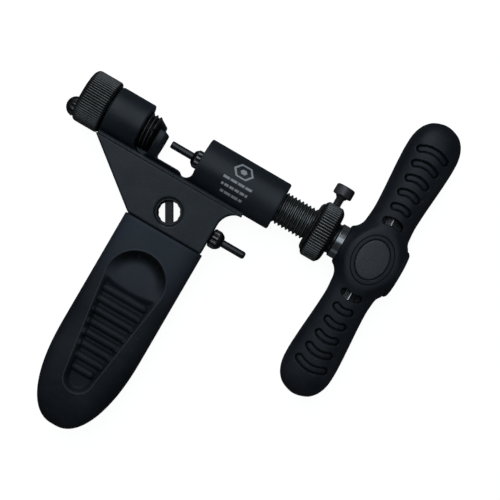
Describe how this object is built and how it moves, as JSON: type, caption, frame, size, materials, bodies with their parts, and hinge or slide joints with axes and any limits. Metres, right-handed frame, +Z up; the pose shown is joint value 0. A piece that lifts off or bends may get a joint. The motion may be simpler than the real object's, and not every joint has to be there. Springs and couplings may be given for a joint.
{
  "type": "chain tool",
  "caption": "Bicycle chain rivet tool: T-handle spindle with driver pin, knurled stop ring, adjustable anvil screw, spare pin and a rubber pistol grip.",
  "frame": {"origin": "on the chain shelf, in the middle of the chain slot and of the tool's thickness", "axes": "+X along the spindle towards the T-handle, +Y away from the grip, +Z out of the plate's front face; the tool lies flat with Z up"},
  "size_m": [0.1357, 0.1655, 0.022],
  "materials": {
    "frame": "matt black with a faint blue cast",
    "black_steel": "black oxide, satin",
    "bright_steel": "ground steel",
    "rubber": "matt black rubber",
    "nylon": "natural nylon"
  },
  "bodies": {
    "root": {"frame_body": "frame", "grip_sleeve": "rubber", "window_insert": "black_steel"},
    "driver_pin": {"driver_pin": "black_steel"},
    "spindle": {"spindle_screw": "black_steel", "pin_holder": "black_steel", "t_handle_cover": "rubber", "cross_bar": "bright_steel", "bar_lock_screw": "black_steel", "hub_cap": "black_steel", "badge_front": "rubber", "badge_back": "rubber"},
    "stop_washer": {"stop_washer": "black_steel"},
    "stop_ring": {"stop_ring": "black_steel"},
    "clamp_pad": {"clamp_pad": "nylon"},
    "thumb_screw": {"thumb_screw": "black_steel"},
    "anvil_cup": {"anvil_cup": "bright_steel"},
    "anvil_screw": {"anvil_screw": "black_steel", "anvil_knob": "black_steel", "knob_stud": "black_steel"},
    "spare_pin": {"spare_pin": "black_steel"},
    "spare_pin_holder": {"spare_pin_holder": "black_steel"}
  },
  "joints": [
    {"name": "driver_pin_advance", "type": "slide", "parent": "root", "child": "driver_pin", "axis": [-1, 0, 0], "range_m": [-0.0123, 0.0035]},
    {"name": "spindle_turn", "type": "hinge", "parent": "driver_pin", "child": "spindle", "pos_m": [0.0406, 0.007, 0], "axis": [-1, 0, 0], "range_deg": [-2951, 839]},
    {"name": "stop_washer_travel", "type": "slide", "parent": "spindle", "child": "stop_washer", "axis": [1, 0, 0], "range_m": [-0.009, 0.0015]},
    {"name": "stop_ring_turn", "type": "hinge", "parent": "stop_washer", "child": "stop_ring", "pos_m": [0.0586, 0.007, 0], "axis": [1, 0, 0], "range_deg": [-2159, 359]},
    {"name": "clamp_pad_travel", "type": "slide", "parent": "stop_ring", "child": "clamp_pad", "axis": [0, 1, 0], "range_m": [0, 0.0024]},
    {"name": "thumb_screw_turn", "type": "hinge", "parent": "clamp_pad", "child": "thumb_screw", "pos_m": [0.0582, 0.02, 0], "axis": [0, 1, 0], "range_deg": [0, 1439]},
    {"name": "anvil_cup_travel", "type": "slide", "parent": "root", "child": "anvil_cup", "axis": [-1, 0, 0], "range_m": [0, 0.008]},
    {"name": "anvil_screw_turn", "type": "hinge", "parent": "anvil_cup", "child": "anvil_screw", "pos_m": [-0.0359, 0.007, 0], "axis": [-1, 0, 0], "range_deg": [0, 1919]},
    {"name": "spare_pin_travel", "type": "slide", "parent": "root", "child": "spare_pin", "axis": [1, 0, 0], "range_m": [0, 0.0095]},
    {"name": "spare_pin_holder_turn", "type": "hinge", "parent": "spare_pin", "child": "spare_pin_holder", "pos_m": [0.0269, -0.0149, 0], "axis": [1, 0, 0], "range_deg": [0, 4274]}
  ],
  "couplings": [
    {"joint": "spindle_turn", "follows": "driver_pin_advance", "rad_per_m": 4188.8},
    {"joint": "stop_ring_turn", "follows": "stop_washer_travel", "rad_per_m": 4188.8},
    {"joint": "thumb_screw_turn", "follows": "clamp_pad_travel", "rad_per_m": 10472},
    {"joint": "anvil_screw_turn", "follows": "anvil_cup_travel", "rad_per_m": 4188.8},
    {"joint": "spare_pin_holder_turn", "follows": "spare_pin_travel", "rad_per_m": 7854}
  ]
}
